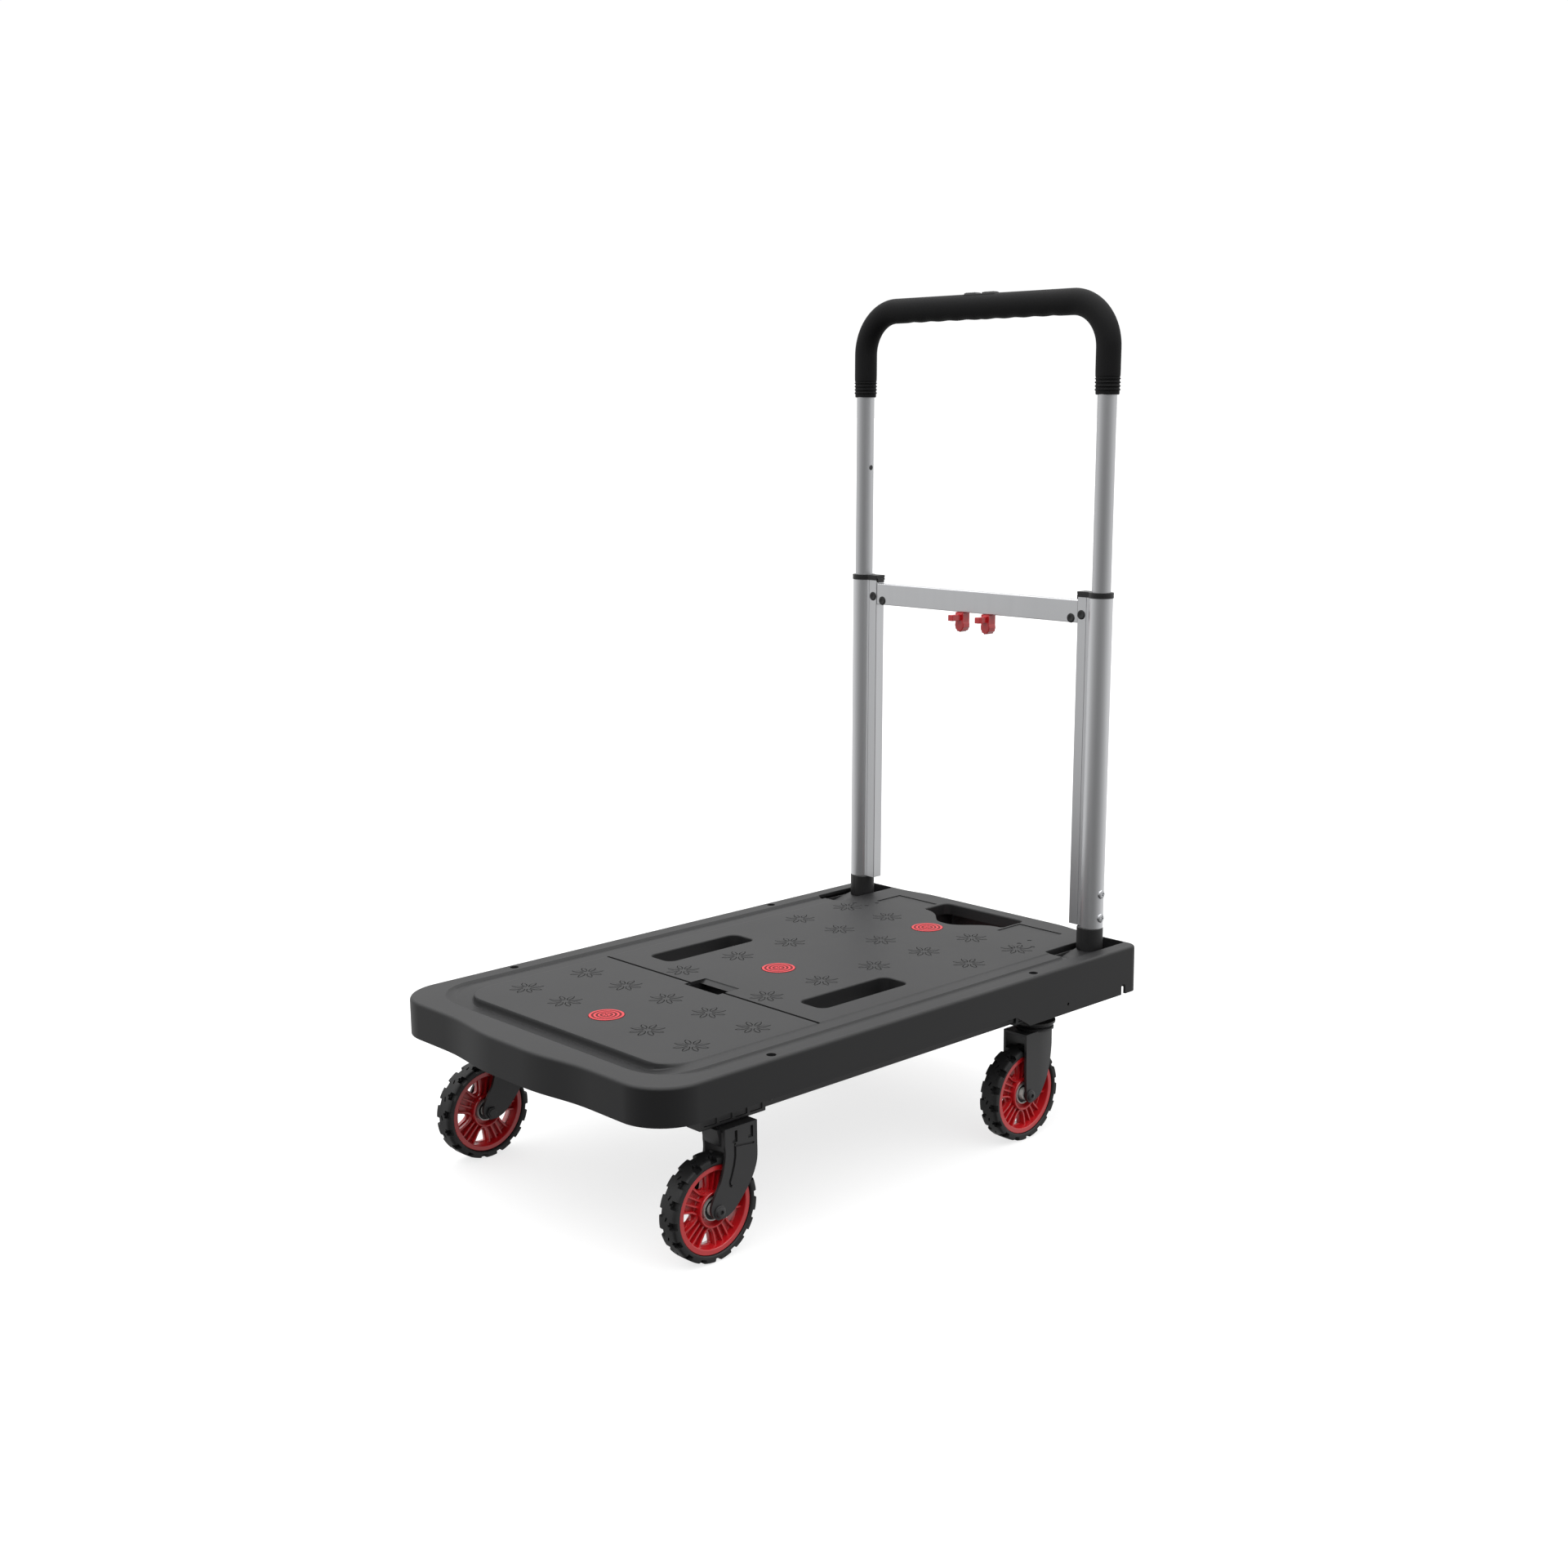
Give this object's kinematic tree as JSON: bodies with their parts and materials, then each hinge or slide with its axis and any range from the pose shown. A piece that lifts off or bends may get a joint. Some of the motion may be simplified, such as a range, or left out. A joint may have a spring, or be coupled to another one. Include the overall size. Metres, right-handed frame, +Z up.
{
  "type": "folding platform cart",
  "caption": "Flat hand cart with a moulded deck, telescopic fold-down handle, two fixed and two swivelling wheels on legs that swing in under the deck.",
  "frame": {"origin": "on the floor under the middle of the bounding box, wheels down and handle up", "axes": "+X towards the handle end, +Y to the right of someone behind the handle, +Z up"},
  "size_m": [0.7215, 0.44, 0.922],
  "materials": {
    "deck_plastic": "fine moulded grain, matt black",
    "black_plastic": "smooth satin black",
    "grip_foam": "soft-touch black moulded grip",
    "black_steel": "black powder coat, fine orange peel",
    "aluminium": "extruded and satin anodised",
    "plated_steel": "bright zinc plate",
    "red_plastic": "satin red moulding",
    "bearing_plastic": "white moulded bush",
    "tyre": "black elastomer with block tread"
  },
  "bodies": {
    "deck": {"platform": "deck_plastic", "medallion_front": "red_plastic", "medallion_middle": "red_plastic", "medallion_rear": "red_plastic", "hoop_tube": "black_steel", "carry_shaft": "black_steel", "carry_grip": "red_plastic", "side_rail_left": "black_steel", "leg_pivot_pin_left": "plated_steel", "handle_housing_left": "black_steel", "handle_pin_left": "plated_steel", "lock_sleeve_left": "black_steel", "side_rail_right": "black_steel", "leg_pivot_pin_right": "plated_steel", "handle_housing_right": "black_steel", "handle_pin_right": "plated_steel", "lock_sleeve_right": "black_steel"},
    "handle": {"crossbar": "aluminium", "handle_arm_left": "black_plastic", "handle_rail_left": "aluminium", "rail_collar_left": "black_plastic", "handle_arm_right": "black_plastic", "handle_rail_right": "aluminium", "rail_collar_right": "black_plastic"},
    "inner_handle": {"handle_grip": "grip_foam", "inner_tube_left": "aluminium", "inner_tube_right": "aluminium"},
    "release_button": {"release_button": "black_plastic"},
    "latch_clip_left": {"latch_clip_left": "red_plastic"},
    "latch_clip_right": {"latch_clip_right": "red_plastic"},
    "pull_rod_left": {"pull_rod_left": "black_steel"},
    "pull_rod_right": {"pull_rod_right": "black_steel"},
    "leg_left": {"leg_tube_left": "black_steel", "front_leg_casting_left": "black_steel", "rear_leg_casting_left": "black_steel", "front_fork_left": "black_steel", "front_axle_left": "black_steel", "swivel_plate_left": "black_steel"},
    "swivel_left": {"swivel_yoke_left": "black_steel", "rear_axle_left": "black_steel"},
    "front_wheel_left": {"front_tyre_left": "tyre", "front_hub_left": "red_plastic", "front_bearing_left": "bearing_plastic"},
    "rear_wheel_left": {"rear_tyre_left": "tyre", "rear_hub_left": "red_plastic", "rear_bearing_left": "bearing_plastic"},
    "leg_right": {"leg_tube_right": "black_steel", "front_leg_casting_right": "black_steel", "rear_leg_casting_right": "black_steel", "front_fork_right": "black_steel", "front_axle_right": "black_steel", "swivel_plate_right": "black_steel"},
    "swivel_right": {"swivel_yoke_right": "black_steel", "rear_axle_right": "black_steel"},
    "front_wheel_right": {"front_tyre_right": "tyre", "front_hub_right": "red_plastic", "front_bearing_right": "bearing_plastic"},
    "rear_wheel_right": {"rear_tyre_right": "tyre", "rear_hub_right": "red_plastic", "rear_bearing_right": "bearing_plastic"}
  },
  "joints": [
    {"name": "handle_fold", "type": "hinge", "parent": "deck", "child": "handle", "pos_m": [0.278, 0, 0.172], "axis": [0, -1, 0], "range_deg": [0, 91]},
    {"name": "inner_slide", "type": "slide", "parent": "handle", "child": "inner_handle", "axis": [-0.0175, 0, -0.9998], "range_m": [0, 0.134]},
    {"name": "release_press", "type": "slide", "parent": "inner_handle", "child": "release_button", "axis": [-0.0175, 0, -0.9998], "range_m": [0, 0.0025], "stiffness_N_per_m": 900, "springref_m": -0.001},
    {"name": "clip_left_pinch", "type": "slide", "parent": "handle", "child": "latch_clip_left", "axis": [0, 1, 0], "range_m": [0, 0.005], "stiffness_N_per_m": 500, "springref_m": -0.002},
    {"name": "clip_right_pinch", "type": "slide", "parent": "handle", "child": "latch_clip_right", "axis": [0, -1, 0], "range_m": [0, 0.005], "stiffness_N_per_m": 500, "springref_m": -0.002},
    {"name": "leg_left_fold", "type": "hinge", "parent": "deck", "child": "leg_left", "pos_m": [0, -0.182, 0.167], "axis": [1, 0, 0], "range_deg": [0, 90]},
    {"name": "leg_right_fold", "type": "hinge", "parent": "deck", "child": "leg_right", "pos_m": [0, 0.182, 0.167], "axis": [-1, 0, 0], "range_deg": [0, 90]},
    {"name": "pull_rod_left_slide", "type": "slide", "parent": "deck", "child": "pull_rod_left", "axis": [1, 0, 0], "range_m": [0, 0.008]},
    {"name": "pull_rod_right_slide", "type": "slide", "parent": "deck", "child": "pull_rod_right", "axis": [1, 0, 0], "range_m": [0, 0.008]},
    {"name": "swivel_left_turn", "type": "hinge", "parent": "leg_left", "child": "swivel_left", "pos_m": [0.2125, -0.187, 0.15], "axis": [0, 0, 1], "continuous": true},
    {"name": "front_wheel_left_spin", "type": "hinge", "parent": "leg_left", "child": "front_wheel_left", "pos_m": [-0.265, -0.187, 0.0525], "axis": [0, 1, 0], "continuous": true},
    {"name": "rear_wheel_left_spin", "type": "hinge", "parent": "swivel_left", "child": "rear_wheel_left", "pos_m": [0.187, -0.187, 0.0525], "axis": [0, 1, 0], "continuous": true},
    {"name": "swivel_right_turn", "type": "hinge", "parent": "leg_right", "child": "swivel_right", "pos_m": [0.2125, 0.187, 0.15], "axis": [0, 0, 1], "continuous": true},
    {"name": "front_wheel_right_spin", "type": "hinge", "parent": "leg_right", "child": "front_wheel_right", "pos_m": [-0.265, 0.187, 0.0525], "axis": [0, 1, 0], "continuous": true},
    {"name": "rear_wheel_right_spin", "type": "hinge", "parent": "swivel_right", "child": "rear_wheel_right", "pos_m": [0.187, 0.187, 0.0525], "axis": [0, 1, 0], "continuous": true}
  ],
  "couplings": [
    {"joint": "clip_right_pinch", "follows": "clip_left_pinch", "ratio": 1},
    {"joint": "leg_left_fold", "follows": "handle_fold", "ratio": 0.989},
    {"joint": "pull_rod_left_slide", "follows": "handle_fold", "m_per_rad": 0.005036},
    {"joint": "leg_right_fold", "follows": "handle_fold", "ratio": 0.989},
    {"joint": "pull_rod_right_slide", "follows": "handle_fold", "m_per_rad": 0.005036}
  ]
}
